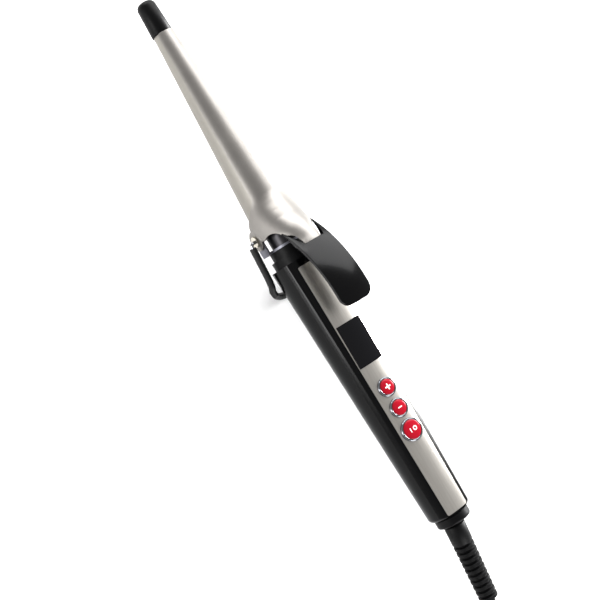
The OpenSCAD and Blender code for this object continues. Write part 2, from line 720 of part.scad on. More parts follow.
// The fascia's outline, cut down to a depth under the curved top
module fascia_outline(grow, depth) {
    difference() {
        at_station(0) linear_extrude(60) fascia_plan(grow);
        top_cylinder(-depth);
    }
}
module window_hole(grow) {
    share = (window_at - window_l - fascia_end_at) / (fascia_at - fascia_end_at);
    w = 2 * (fascia_rear_x + (fascia_front_x - fascia_rear_x) * share - window_rail + grow);
    at_station(window_at - window_l / 2, 20) cube([w, window_l + 2 * grow, 40], center = true);
}
module fascia() {
    color("#b4b2b0") difference() {
        intersection() {
            top_cylinder(fascia_lift);
            fascia_outline(0, fascia_t - fascia_lift);
        }
        window_hole(seat);
        for (i = [0:2]) at_station(buttons_at[i]) cylinder(d = buttons_d[i] + 2 * seat, h = 40);
    }
}
module display_window() {
    color("#30343a") intersection() {
        window_hole(0);
        difference() {
            top_cylinder(fascia_lift + 0.3);
            top_cylinder(-fascia_t + fascia_lift - seat);
        }
    }
}
module_w = 13;
module_gap = 0.3;
module_top = layer_h(window_at - window_l, -handle_wall) - module_gap
    - module_w * module_w / 8 / (top_r - handle_wall);
module_t = 2.4;
module display_module() {
    color("darkgreen") at_station(window_at - window_l / 2, module_top - module_t / 2)
        cube([module_w, window_l - 3.6, module_t], center = true);
}
module display_pins() {
    pin_h = module_top - module_t - board_top;
    color("gold") for (k = [-3:3]) for (end = [-1, 1])
        at_station(window_at - window_l / 2 + end * (window_l / 2 - 3), board_top + pin_h / 2, k * 1.8)
            cube([0.6, 0.6, pin_h], center = true);
}

// Buttons, each with a captive rim under the shell, and their chrome rings
module button_bezels() {
    color("#c8c8cc") for (i = [0:2]) difference() {
        at_station(buttons_at[i])
            cylinder(d = buttons_d[i] + 2 * seat + 2 * bezel_w, h = layer_h(buttons_at[i], fascia_lift)
                + bezel_h);
        at_station(buttons_at[i]) cylinder(d = buttons_d[i] + 2 * seat, h = 40);
        top_cylinder(fascia_lift);
    }
}
module button(i) {
    at = buttons_at[i];
    d = buttons_d[i];
    top = layer_h(at, fascia_lift) + bezel_h;
    rim_r = d / 2 + button_rim;
    rim_top = layer_h(at, -handle_wall) - 0.25 - rim_r * rim_r / 2 / (top_r - handle_wall);
    color("#d4143c") at_station(at) rotate_extrude() polygon([[0, button_base], [rim_r, button_base],
        [rim_r, rim_top], [d / 2, rim_top], [d / 2, top - 0.4], [d / 2 - 0.6, top],
        [d / 4, top + button_dome * 0.6], [0, top + button_dome * 0.8]]);
}
module button_plus() { button(0); }
module button_minus() { button(1); }
module button_power() { button(2); }

// Electronics
module tact_switches() {
    color("#222222") for (at = buttons_at) at_station(at, board_top) {
        translate([0, 0, switch_h / 2]) cube([6, 6, switch_h], center = true);
        translate([0, 0, switch_h]) cylinder(d = 3.2, h = plunger_h);
    }
}
module circuit_board() {
    color("#1d6b3a") difference() {
        at_station(board_at - board_l / 2, board_top - board_t / 2)
            cube([board_w, board_l, board_t], center = true);
        for (at = board_screws_at) for (side = [-1, 1])
            at_station(at, board_top - board_t - 1, side * board_screw_x)
                cylinder(d = board_screw_d + 0.3, h = board_t + 2);
    }
}
module board_screws() {
    color("dimgray") for (at = board_screws_at) for (side = [-1, 1])
        at_station(at, 0, side * board_screw_x) {
            translate([0, 0, board_top]) cylinder(d = board_screw_head_d, h = board_screw_head_t);
            translate([0, 0, board_top - board_screw_l]) cylinder(d = board_screw_d, h = board_screw_l);
        }
}
module triac() {
    color("#2a2a2a") at_station(board_at - 24, board_base - 2.3) cube([10, 15, 4.6], center = true);
}
module fuse() {
    color("white") at_station(board_at - 36, board_base - 2.6) rotate([0, 90, 0])
        cylinder(r = 2.6, h = 12, center = true);
}
module film_capacitor() {
    color("goldenrod") at_station(board_at - 52, board_base - 5) cube([6, 13, 10], center = true);
}
module control_chip() {
    color("#202020") at_station(board_at - 68, board_base - 0.9) cube([6, 10, 1.8], center = true);
}
lead_lap = 1.5;
module heater_leads() {
    color("ivory") for (side = [-1, 1]) along_axis(board_at - lead_lap) translate([side * lead_x, lead_h, 0])
        cylinder(r = lead_r, h = heater_at - board_at + lead_lap);
}

// Swivel: a ball with two contact bands, held between the shells and the end ring
module droop_axis(d = 0) {
    at_station(ball_at) rotate([90 + relief_droop, 0, 0]) translate([0, 0, d]) children();
}
stem_r = 3.4;
bore_r = stem_r + 1.9;
module swivel_ball() {
    color("#2a2a2c") difference() {
        union() {
            at_station(ball_at) sphere(r = ball_r);
            droop_axis(0) cylinder(r = stem_r, h = relief_start + 3);
        }
        at_station(ball_at) rotate([-90, 0, 0]) translate([0, 0, ball_r - 1.2]) cylinder(r = 1.5, h = 4);
    }
}
contact_gap = 0.15;
contact_l = 3;
contact_w = 2.5;
contact_h = 2.4;
supply_x = boss_r + lead_r + 0.2;
module swivel_contacts() {
    color("#c9a227") for (side = [-1, 1])
        at_station(ball_at + ball_r + contact_gap + contact_l / 2, 0, side * (supply_x - contact_w / 2 + 0.1))
            cube([contact_w, contact_l, contact_h], center = true);
}
module supply_leads() {
    from = ball_at + ball_r + contact_gap + contact_l;
    to = board_at - board_l;
    color("saddlebrown") for (side = [-1, 1]) along_axis(from) translate([side * supply_x, lead_h, 0])
        cylinder(r = lead_r, h = to - from + lead_lap);
}
module end_ring() {
    color("#1a1a1c") difference() {
        along_axis(ring_end_at) rotate_extrude() union() {
            translate([0, 1.5]) square([handle_rear_d / 2 - 2.4, ring_l - 1.5]);
            square([handle_rear_d / 2 - 3.9, ring_l]);
            translate([handle_rear_d / 2 - 3.9, 1.5]) circle(r = 1.5);
            square([ring_spigot_r, ring_l + ring_seam + ring_spigot_l]);
        }
        at_station(ball_at) sphere(r = ball_r + fit);
        along_axis(ring_end_at - 1) cylinder(r = bore_r + 0.7, h = ring_l + 3);
        along_axis(ball_at) cylinder(r = ring_spigot_r + 1, h = 20);
    }
}

// Strain relief: a smooth base, then ribs
smooth_l = 12;
rib_pitch = 3.7;
rib_gap = 1.5;
rib_depth = 1.3;
function relief_r(d) = (relief_base_d + (relief_end_d - relief_base_d) * d / relief_l) / 2;
module strain_relief() {
    color("#1a1a1c") droop_axis(relief_start) difference() {
        cylinder(r1 = relief_base_d / 2, r2 = relief_end_d / 2, h = relief_l);
        translate([0, 0, -1]) cylinder(r = stem_r + fit, h = 4);
        for (d = [smooth_l:rib_pitch:relief_l - 2.5]) translate([0, 0, d]) difference() {
            cylinder(r = relief_base_d, h = rib_gap);
            translate([0, 0, -1]) cylinder(r = relief_r(d) - rib_depth, h = rib_gap + 2);
        }
    }
}

// Cord: a lead down to the surface, a folded hank with its tie, and a tail to the plug
exit_step = 6;
module cord_lead() {
    droop = [0, -cos(relief_droop), -sin(relief_droop)];
    exit = [0, relief_end_y, relief_end_z];
    color("#202022") swept_tube(concat([exit + 0.05 * droop, exit + exit_step * droop],
        smooth_curve(lead_route, 1)), cord_d / 2, 8);
}
module hank_outline(r) {
    for (y = [hank_start_y, hank_start_y - hank_run]) translate([0, y]) circle(r = r);
    translate([-r, hank_start_y - hank_run]) square([2 * r, hank_run]);
}
module cord_hank() {
    color("#202022") linear_extrude(hank_h) difference() {
        hank_outline(hank_outer);
        hank_outline(hank_inner);
    }
}
tie_t = 1.2;
tie_w = 10;
tie_y = -345;
module cord_tie() {
    color("#303032") translate([0, tie_y, hank_h / 2]) difference() {
        translate([0, 0, tie_t / 2])
            cube([2 * (hank_outer + tie_t), tie_w, hank_h + tie_t], center = true);
        cube([2 * hank_outer + 0.1, tie_w + 2, hank_h + 0.1], center = true);
    }
}
module cord_tail() {
    color("#202022") swept_tube(tail_route, cord_d / 2, 8);
}
// Plug: it lies on the hank's tie, pins away from the iron
module at_plug() {
    translate([0, tail_route[len(tail_route) - 1][1], hank_h + tie_t + plug_t / 2 + 0.1]) children();
}
module plug_body() {
    boot_l = 14;
    color("#1a1a1c") at_plug() {
        rotate([90, 0, 0]) cylinder(r1 = cord_d / 2 + 1, r2 = plug_t / 2 - 1, h = boot_l);
        translate([0, -boot_l, 0]) difference() {
            hull() {
                rotate([90, 0, 0]) cylinder(d = plug_t - 2, h = 2, $fn = 32);
                for (side = [-1, 1]) translate([side * (plug_w - plug_t) / 2, -plug_l + boot_l + 12, 0])
                    rotate([90, 0, 0]) cylinder(d = plug_t, h = 12, $fn = 32);
            }
            for (side = [-1, 1]) translate([side * pin_pitch / 2, -plug_l + boot_l + 7, 0])
                rotate([90, 0, 0]) cylinder(d = pin_stub_d + seat, h = 12);
        }
    }
}
pin_stub_d = 2.6;
module plug_pins() {
    color("#cfcfd2") at_plug() for (side = [-1, 1]) translate([side * pin_pitch / 2, -plug_l, 0])
        rotate([90, 0, 0]) {
            translate([0, 0, -6]) cylinder(d = pin_stub_d, h = 6);
            cylinder(d = pin_d, h = pin_l - 1);
            translate([0, 0, pin_l - 1]) cylinder(d1 = pin_d, d2 = pin_d - 1.4, h = 1);
        }
}

barrel();
cool_tip();
heater_shell_upper();
heater_shell_lower();
ceramic_heater();
heater_spring();
temperature_sensor();
thermal_fuse();
base_insulator();
neck();
hinge_bracket();
hinge_rivets();
clamp_springs();
clamp();
thumb_lever();
lever_rivets();
stand_wire();
stand_sleeve();
front_collar();
handle_upper();
handle_lower();
shell_screws();
fascia();
display_window();
display_module();
display_pins();
button_bezels();
button_plus();
button_minus();
button_power();
tact_switches();
circuit_board();
board_screws();
triac();
fuse();
film_capacitor();
control_chip();
heater_leads();
swivel_ball();
swivel_contacts();
supply_leads();
end_ring();
strain_relief();
cord_lead();
cord_hank();
cord_tie();
cord_tail();
plug_body();
plug_pins();
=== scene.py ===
"""Tapered curling iron: finishes, modelled pieces, the cord's lay, floor, lights and camera."""
import json
import math

import bmesh
import bpy
from mathutils import Matrix, Vector


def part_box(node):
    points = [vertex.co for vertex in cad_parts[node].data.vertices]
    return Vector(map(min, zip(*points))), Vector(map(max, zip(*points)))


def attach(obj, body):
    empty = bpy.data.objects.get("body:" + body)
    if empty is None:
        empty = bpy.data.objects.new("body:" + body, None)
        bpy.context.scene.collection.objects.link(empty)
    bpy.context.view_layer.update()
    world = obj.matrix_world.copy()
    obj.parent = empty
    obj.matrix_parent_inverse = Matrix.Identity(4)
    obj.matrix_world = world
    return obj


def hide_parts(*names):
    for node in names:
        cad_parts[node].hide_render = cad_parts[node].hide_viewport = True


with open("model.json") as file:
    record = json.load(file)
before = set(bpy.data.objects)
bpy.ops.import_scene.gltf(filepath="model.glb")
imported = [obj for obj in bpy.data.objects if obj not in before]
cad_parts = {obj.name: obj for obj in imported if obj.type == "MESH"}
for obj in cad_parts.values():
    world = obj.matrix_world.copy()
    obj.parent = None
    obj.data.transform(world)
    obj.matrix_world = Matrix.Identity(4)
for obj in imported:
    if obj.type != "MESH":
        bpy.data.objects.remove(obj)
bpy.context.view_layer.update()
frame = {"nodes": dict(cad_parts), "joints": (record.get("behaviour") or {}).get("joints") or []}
MM = 0.001

# Places taken from the frame
joints = {j["name"]: j for j in frame["joints"]}
hinge = Vector(joints["clamp_hinge"]["pos_m"])
strain_axis = Vector(joints["cord_spin"]["axis"]).normalized()
swivel_at = Vector(joints["cord_spin"]["pos_m"])
barrel_low, barrel_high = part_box("barrel")
axis_z = (barrel_low.z + barrel_high.z) / 2


def place(x, station, height):
    """A point from millimetres: across, along from the hinge to the tip, and over the barrel's axis."""
    return Vector((x * MM, hinge.y + station * MM, axis_z + height * MM))


# ---------------------------------------------------------------- sizes
# In millimetres, as the construction has them. Stations run from the hinge to the tip, and
# heights are over the barrel's axis.
BARREL_END = 126
BARREL_END_R = 5.7
BARREL_TAPER = 0.060331
TIP_R = 6.3
TIP_END_R = 5.6
TIP_DOME = 3.2
TIP_END = 146.5
SHEET = 0.95
SHEET_GAP = 0.15        # between the barrel and the closed sheet
SADDLE_FRONT = 20
FRONT_CORNER = 2
TONGUE_HALF = 5.33
TONGUE_R = 60.6         # of the tongue's outer face, about the lever's centre
HINGE_DROP = -3
LEVER_CENTRE = (-48.2, -23.6)   # station and height
LEVER_R = 61.6
LEVER_FRONT = -15.7
LEVER_REAR = -56.4
LEVER_HALF = 10.25
LEVER_CORNER = 6
LEVER_THICK = 3.2
LEVER_CROWN = 0.9
HORN_FROM = 6.6         # the horns begin this far from the middle
HORN_LENGTH = 11.4
HANDLE_FRONT = -20.4
HANDLE_R = 16.7
HANDLE_TAPER = 0.0243902
WALL = 2.2
TOP_R = 26              # the curve across the handle's top
TOP_SHARE = 0.825       # height of the top, as a share of the handle's radius
PANEL_LIFT = 0.25
RING_RISE = 1.1
RING_WIDTH = 1.1
CAP_PLAY = 0.1
CAP_RIM = 0.8
RELIEF_FROM = 13.6      # along the swivel's axis, from the ball's middle
RELIEF_LENGTH = 50
RELIEF_R = 6.3
RIB_PITCH = 3.7
GROOVE_WIDTH = 1.5
GROOVE_DEPTH = 1.3
# node, station and diameter of each button
BUTTONS = [("button_plus", -105.3, 8.9), ("button_minus", -118.4, 8.9), ("button_power", -132.4, 11.1)]
BODY_OF = {"button_plus": "plus_button", "button_minus": "minus_button", "button_power": "power_button"}


# ---------------------------------------------------------------- materials
def linear(hex_colour):
    """sRGB hex to the linear values that the shader wants."""
    parts = [int(hex_colour[i:i + 2], 16) / 255 for i in (1, 3, 5)]
    return [c / 12.92 if c <= 0.04045 else ((c + 0.055) / 1.055) ** 2.4 for c in parts] + [1.0]


def node(tree, kind, links=None, **settings):
    """Adds a node: plain settings are attributes or input values, links are input name to socket."""
    made = tree.nodes.new(kind)
    for key, value in settings.items():
        if hasattr(made, key):
            setattr(made, key, value)
        else:
            made.inputs[key.replace("_", " ")].default_value = value
    for key, socket in (links or {}).items():
        tree.links.new(socket, made.inputs[key])
    return made


def finish(name, colour, metallic=0.0, roughness=0.5, **more):
    """A material with its main shader set; returns the material, its tree and the shader."""
    mat = bpy.data.materials.new(name)
    mat.use_nodes = True
    tree = mat.node_tree
    shader = tree.nodes["Principled BSDF"]
    shader.inputs["Base Color"].default_value = linear(colour)
    shader.inputs["Metallic"].default_value = metallic
    shader.inputs["Roughness"].default_value = roughness
    for key, value in more.items():
        shader.inputs[key.replace("_", " ")].default_value = value
    return mat, tree, shader


def object_coords(tree, scale=(1, 1, 1)):
    """The piece's own coordinates, scaled."""
    coords = node(tree, "ShaderNodeTexCoord")
    return node(tree, "ShaderNodeMapping", {"Vector": coords.outputs["Object"]}, Scale=scale).outputs[0]


def grain(tree, shader, size_mm, strength, height=0.00004, stretch=(1, 1, 1), rough=None):
    """Noise bump of a given grain, and, with rough=(low, high), the same noise in the roughness."""
    per_m = 1 / (size_mm * MM)
    vector = object_coords(tree, tuple(per_m * s for s in stretch))
    noise = node(tree, "ShaderNodeTexNoise", {"Vector": vector}, Scale=1.0, Detail=3.0, Roughness=0.6)
    bump = node(tree, "ShaderNodeBump", {"Height": noise.outputs["Fac"]}, Strength=strength,
                Distance=height)
    tree.links.new(bump.outputs[0], shader.inputs["Normal"])
    if rough:
        spread = node(tree, "ShaderNodeMapRange", {"Value": noise.outputs["Fac"]}, To_Min=rough[0],
                      To_Max=rough[1])
        tree.links.new(spread.outputs[0], shader.inputs["Roughness"])
    return noise


def mottled(tree, shader, low, high, size_mm, stretch=(1, 1, 1)):
    """Two close colours mixed by a soft noise, as handling and casting leave them."""
    vector = object_coords(tree, tuple(1 / (size_mm * MM) * s for s in stretch))
    noise = node(tree, "ShaderNodeTexNoise", {"Vector": vector}, Scale=1.0, Detail=2.0)
    mix = node(tree, "ShaderNodeMix", {0: noise.outputs["Fac"]}, data_type="RGBA")
    mix.inputs[6].default_value = linear(low)
    mix.inputs[7].default_value = linear(high)
    tree.links.new(mix.outputs[2], shader.inputs["Base Color"])


def blasted_steel():
    """Bead-blasted and satin-plated sheet: a fine even grain that spreads highlights wide."""
    mat, tree, shader = finish("blasted_steel", "#8f897d", metallic=1.0, roughness=0.36)
    grain(tree, shader, 0.45, 0.35, rough=(0.34, 0.46))  # drawn coarser than the 0.1 mm bead marks
    mottled(tree, shader, "#7e7b78", "#918e8a", 14)
    return mat


def ceramic_coat():
    """Ceramic coat on the heated tube: a dull warm grey with a faint glitter."""
    mat, tree, shader = finish("ceramic_coat", "#8a8781", metallic=0.75, roughness=0.42)
    grain(tree, shader, 0.4, 0.25)
    return mat


def gloss_black():
    """Polished ABS: near black, clear reflections, and a trace of ripple from the mould."""
    mat, tree, shader = finish("gloss_black", "#030304", roughness=0.2, IOR=1.5, Specular_IOR_Level=0.2,
                               Coat_Weight=0.06, Coat_Roughness=0.05)
    grain(tree, shader, 9, 0.06, rough=(0.17, 0.25))
    return mat


def satin_black():
    """Heat-proof nylon with a fine spark-eroded texture."""
    mat, tree, shader = finish("satin_black", "#040405", roughness=0.36, IOR=1.53, Specular_IOR_Level=0.16)
    grain(tree, shader, 0.35, 0.3, rough=(0.36, 0.5))
    return mat


def soft_black():
    """Moulded PVC of the strain relief and the cord: soft broad highlights."""
    mat, tree, shader = finish("soft_black", "#050506", roughness=0.4, IOR=1.52, Specular_IOR_Level=0.2)
    grain(tree, shader, 0.6, 0.25, rough=(0.44, 0.58))
    return mat


def brushed_aluminium():
    """Anodised strip, brushed along the handle: long fine scratches and an even grey."""
    mat, tree, shader = finish("brushed_aluminium", "#b0aca6", metallic=1.0, roughness=0.33)
    grain(tree, shader, 0.35, 0.3, stretch=(1, 0.02, 1), rough=(0.28, 0.44))
    mottled(tree, shader, "#a5a19b", "#b8b5b0", 0.5, (1, 0.015, 1))
    return mat


def polished_chrome():
    """Plated and polished: a clear mirror with slight waviness."""
    mat, tree, shader = finish("polished_chrome", "#7b7c80", metallic=1.0, roughness=0.07)
    grain(tree, shader, 4, 0.03)
    return mat


def smoked_acrylic():
    """Dark window: polished, blue-grey in its reflections."""
    mat, tree, shader = finish("smoked_acrylic", "#0c0c0f", roughness=0.05, IOR=1.49, Specular_IOR_Level=0.3)
    grain(tree, shader, 20, 0.03)
    return mat


def red_caps():
    """Glossy crimson ABS of the button caps."""
    mat, tree, shader = finish("red_caps", "#960820", roughness=0.22, IOR=1.5, Specular_IOR_Level=0.3)
    grain(tree, shader, 2.5, 0.05)
    return mat


def white_marks():
    """Pad-printed white ink."""
    mat, tree, shader = finish("white_marks", "#f4f2f1", roughness=0.45)
    grain(tree, shader, 0.3, 0.1)
    return mat


def plain_finish(name, colour, metallic=0.0, roughness=0.5, size_mm=0.5, bump=0.2):
    """A colour with the grain, in millimetres, that the piece's making leaves."""
    mat, tree, shader = finish(name, colour, metallic, roughness)
    grain(tree, shader, size_mm, bump, rough=(roughness * 0.85, min(1, roughness * 1.15)))
    return mat


STEEL = blasted_steel()
COAT = ceramic_coat()
GLOSS = gloss_black()
SATIN = satin_black()
RUBBER = soft_black()
ALUMINIUM = brushed_aluminium()
CHROME = polished_chrome()
SMOKE = smoked_acrylic()
RED = red_caps()
WHITE = white_marks()
# Steel neck tube, coloured dark: the dark reflections of the polished tube are painted into its colour, with
# a soft broad shine
NECK = plain_finish("neck_steel_painted_dark", "#3c3b3d", 0.9, 0.35)
# Moulded heat sleeve: black and half matt
SLEEVE = plain_finish("silicone_sleeve", "#0d0d0e", 0.0, 0.5, 0.8)
# Screws in black zinc: a dark metal that still glints
DARK_STEEL = plain_finish("black_zinc_screws", "#4a4a4c", 0.9, 0.4)
# Nickel on pins and rivets: a warm, clear shine
PLATED = plain_finish("nickel_plate", "#c9c4b8", 1.0, 0.22)
# Printed circuit board under its green lacquer
BOARD = plain_finish("solder_mask", "#0d5a2c", 0.0, 0.3, 1.2)
# Moulded epoxy of electronic parts: dull charcoal
MOULDED = plain_finish("moulded_epoxy", "#232324", 0.0, 0.55)
# Fired ceramic: chalky cream
CERAMIC = plain_finish("fired_ceramic", "#e9e3d4", 0.0, 0.6)
# Aluminium as it leaves the press: pale and softly grained
EXTRUDED = plain_finish("extruded_aluminium", "#c6c7c9", 1.0, 0.4)
# Phosphated steel of the hinge bracket: a dull mid grey
BRACKET = plain_finish("phosphated_steel", "#75757c", 0.9, 0.42)
# Drawn spring wire and leaf: grey, with a narrow shine
SPRING = plain_finish("spring_steel", "#8a8a8c", 1.0, 0.35)
# Plated brass contacts: yellow metal
GOLD = plain_finish("plated_brass", "#d4af4a", 1.0, 0.3)
# Silicone on the inner leads: ivory and matt
SILICONE = plain_finish("silicone_leads", "#e0d8c6", 0.0, 0.6)
# Dipped case of the film capacitor: mustard with a low gloss
MUSTARD = plain_finish("capacitor_case", "#d19a1a", 0.0, 0.35)
# Woven strap round the cord: black and hairy
STRAP = plain_finish("woven_strap", "#202022", 0.0, 0.8, 0.7, 0.6)
# Glass bead of the temperature sensor: amber and glossy
BEAD = plain_finish("glass_bead", "#b98a55", 0.0, 0.2)

FINISHES = {
    COAT: ["barrel"],
    STEEL: ["clamp"],
    SATIN: ["cool_tip", "front_collar", "end_ring", "swivel_ball", "plug_body"],
    GLOSS: ["handle_upper", "handle_lower", "thumb_lever"],
    RUBBER: ["strain_relief", "cord_lead", "cord_hank", "cord_tail"],
    EXTRUDED: ["heater_shell_upper", "heater_shell_lower"],
    BRACKET: ["hinge_bracket"],
    CERAMIC: ["ceramic_heater", "base_insulator", "fuse"],
    SPRING: ["heater_spring", "clamp_springs"],
    BEAD: ["temperature_sensor"],
    PLATED: ["thermal_fuse", "hinge_rivets", "lever_rivets", "plug_pins"],
    NECK: ["neck"],
    CHROME: ["stand_wire", "button_bezels"],
    SLEEVE: ["stand_sleeve"],
    DARK_STEEL: ["shell_screws", "board_screws"],
    ALUMINIUM: ["fascia"],
    SMOKE: ["display_window"],
    RED: ["button_plus", "button_minus", "button_power"],
    BOARD: ["circuit_board", "display_module"],
    MOULDED: ["tact_switches", "triac", "control_chip"],
    MUSTARD: ["film_capacitor"],
    GOLD: ["display_pins", "swivel_contacts"],
    SILICONE: ["heater_leads", "supply_leads"],
    STRAP: ["cord_tie"],
}
for material, names in FINISHES.items():
    for name in names:
        mesh = frame["nodes"][name].data
        mesh.materials.clear()
        mesh.materials.append(material)


# ---------------------------------------------------------------- piece helpers
def shape(name, bm, material, smooth=40):
    """A bmesh as an object at the origin, with its faces outward and its hard edges kept sharp."""
    bmesh.ops.remove_doubles(bm, verts=bm.verts, dist=1e-6)
    bmesh.ops.recalc_face_normals(bm, faces=bm.faces)
    mesh = bpy.data.meshes.new(name)
    bm.to_mesh(mesh)
    bm.free()
    mesh.materials.append(material)
    for face in mesh.polygons:
        face.use_smooth = True
    mesh.set_sharp_from_angle(angle=math.radians(smooth))
    made = bpy.data.objects.new(name, mesh)
    bpy.context.scene.collection.objects.link(made)
    return made


def dress(made, body, slot, *stands_for):
    """Puts a finished piece on its body, for the CAD nodes it stands for; the slot argument is not used."""
    made.data.set_sharp_from_angle(angle=math.radians(40))
    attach(made, body)
    if stands_for:
        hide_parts(*stands_for)
    return made


def drop(made):
    """Removes an object and its mesh."""
    mesh = made.data
    bpy.data.objects.remove(made)
    bpy.data.meshes.remove(mesh)


def join(bm, part):
    """Adds one bmesh to another and frees it."""
    mesh = bpy.data.meshes.new("part")
    part.to_mesh(mesh)
    part.free()
    bm.from_mesh(mesh)
    bpy.data.meshes.remove(mesh)


def modified(made, kind, **settings):
    """Adds a modifier and applies it to the mesh."""
    mod = made.modifiers.new(kind.lower(), kind)
    for key, value in settings.items():
        setattr(mod, key, value)
    depsgraph = bpy.context.evaluated_depsgraph_get()
    mesh = bpy.data.meshes.new_from_object(made.evaluated_get(depsgraph))
    made.modifiers.clear()
    old = made.data
    made.data = mesh
    bpy.data.meshes.remove(old)
    return made


def turned(profile, centre, axis, steps=72):
    """A solid or ring spun from a profile of (radius, along) points in millimetres."""
    bm = bmesh.new()
    axis = Vector(axis).normalized()
    side = axis.orthogonal().normalized()
    verts = [bm.verts.new(centre + side * r * MM + axis * a * MM) for r, a in profile]
    edges = [bm.edges.new(pair) for pair in zip(verts, verts[1:])]
    bmesh.ops.spin(bm, geom=verts + edges, cent=centre, axis=axis, angle=math.tau, steps=steps,
                   use_merge=True, use_duplicate=False)
    return bm


def smooth_value(knots, x):
    """Catmull-Rom value at x of (x, value, ...) rows whose x fall or rise."""
    rows = sorted(knots)
    if x <= rows[0][0]:
        return list(rows[0][1:])
    if x >= rows[-1][0]:
        return list(rows[-1][1:])
    i = max(k for k in range(len(rows) - 1) if rows[k][0] <= x)
    u = (x - rows[i][0]) / (rows[i + 1][0] - rows[i][0])
    at = [rows[max(0, min(len(rows) - 1, j))][1:] for j in (i - 1, i, i + 1, i + 2)]
    return [b + u * (c - a) / 2 + u * u * (a - 2.5 * b + 2 * c - d / 2)
            + u ** 3 * (3 * b - a - 3 * c + d) / 2 for a, b, c, d in zip(*at)]


# ---------------------------------------------------------------- clamp
def sheet_r(at):
    """Outer radius of the trough along the tapered barrel."""
    return BARREL_END_R + (BARREL_END - at) * BARREL_TAPER + SHEET_GAP + SHEET


SADDLE_R = sheet_r(SADDLE_FRONT)
# station, crest height, half width, depth of the oval, angle of the edge from the crest
SADDLE = [(SADDLE_FRONT, SADDLE_R, SADDLE_R, SADDLE_R, 51),
          (15, SADDLE_R + 1.3, SADDLE_R + 0.4, SADDLE_R + 1.3, 72),
          (9, SADDLE_R + 3.9, 14.9, SADDLE_R + 3.9, 96),
          (4, SADDLE_R + 6.4, 15.38, SADDLE_R + 6.4, 98),
          (0, SADDLE_R + 8.8, 15.38, SADDLE_R + 8.8, 98),
          (-4, SADDLE_R + 10.9, 15.38, SADDLE_R + 10.9, 60),
          (-8, SADDLE_R + 12.5, 13.4, 20, 34),
          (-12, SADDLE_R + 13.6, 11.5, 12, 31),
          (-16, 27.75, 11, 6, 29)]
EDGE_ANGLE = SADDLE[0][-1]
TONGUE_FRONT = SADDLE[-1][0]


def lever_height(at, radius):
    """Height of the arc that the tongue and the lever follow."""
    return LEVER_CENTRE[1] + math.sqrt(radius * radius - (at - LEVER_CENTRE[0]) ** 2)


def sheet_point(at, share):
    """Outer face of the pressed sheet; share runs from -1 to 1 across it."""
    if at < TONGUE_FRONT:
        return place(TONGUE_HALF * share, at, lever_height(at, TONGUE_R))
    if at >= SADDLE_FRONT:
        crest = wide = deep = sheet_r(at)
        edge = EDGE_ANGLE
    else:
        crest, wide, deep, edge = smooth_value(SADDLE, at)
    angle = math.radians(edge) * share
    return place(wide * math.sin(angle), at, crest - deep + deep * math.cos(angle))


def grid_faces(bm, rows):
    """Faces between neighbouring rows of vertices."""
    for upper, lower in zip(rows, rows[1:]):
        for k in range(len(upper) - 1):
            bm.faces.new((upper[k], upper[k + 1], lower[k + 1], lower[k]))


def clamp_sheet():
    """Pressed sheet: a trough along the barrel that flares into the saddle, and the lever's tongue."""
    bm = bmesh.new()
    # close steps round the front corners and through the saddle, and a crease where it begins
    stations = [BARREL_END - 0.25 * i for i in range(9)] + [123.5 - 2.3 * i for i in range(45)]
    stations += [SADDLE_FRONT, SADDLE_FRONT - 0.15] + [19.5 - 0.5 * i for i in range(72)]
    stations += [-16.5 - 2 * i for i in range(14)]
    half = 28       # columns on each side of the crest
    rows = []
    for at in stations:
        short = max(0, at - (BARREL_END - FRONT_CORNER)) / FRONT_CORNER
        draw_in = 1 - 0.2 * (1 - math.sqrt(max(0, 1 - short * short)))
        row = [sheet_point(at, draw_in * (k / half - 1)) for k in range(2 * half + 1)]
        rows.append([bm.verts.new(point) for point in row])
    grid_faces(bm, rows)
    sheet = shape("clamp_sheet", bm, STEEL, smooth=60)
    modified(sheet, "SOLIDIFY", thickness=SHEET * MM, offset=sheet_side(sheet))
    # the arch behind the ears, cut through both sides so that the sheet clears the collar
    cutter = bmesh.new()
    middle, radius = (-10, 11), 8.7
    arch = [(middle[0] + radius * math.cos(math.radians(t)), middle[1] + radius * math.sin(math.radians(t)))
            for t in range(90, -91, -5)]
    arch += [(middle[0], -30), (-60, -30), (-60, middle[1] + radius)]
    face = cutter.faces.new([cutter.verts.new(place(-40, a, h)) for a, h in arch])
    made = bmesh.ops.extrude_face_region(cutter, geom=[face])
    moved = [v for v in made["geom"] if isinstance(v, bmesh.types.BMVert)]
    bmesh.ops.translate(cutter, verts=moved, vec=(0.08, 0, 0))
    tool = shape("arch_cutter", cutter, STEEL)
    modified(sheet, "BOOLEAN", operation="DIFFERENCE", object=tool, solver="EXACT")
    drop(tool)
    modified(sheet, "BEVEL", width=0.25 * MM, segments=2, limit_method="ANGLE", angle_limit=math.radians(55))
    # ears: discs about the hinge pins with broken edges, as (radius, distance from the middle)
    ring = [(2.05, 14.45), (5.8, 14.45), (6, 14.65), (6, 15.2), (5.8, 15.4), (2.25, 15.4), (2.05, 15.2),
            (2.05, 14.45)]
    bm = bmesh.new()
    bm.from_mesh(sheet.data)
    for side in (-1, 1):
        join(bm, turned(ring, place(0, 0, HINGE_DROP), (side, 0, 0)))
    bmesh.ops.remove_doubles(bm, verts=bm.verts, dist=1e-6)
    bm.to_mesh(sheet.data)
    bm.free()
    dress(sheet, "clamp", "clamp_steel", "clamp")


def sheet_side(sheet):
    """Solidify offset that keeps the given face as the outer one, whichever way it points."""
    middle = min(sheet.data.polygons, key=lambda f: abs(f.center.x) + abs(f.center.y - 0.1))
    return -1 if middle.normal.z > 0 else 1


clamp_sheet()


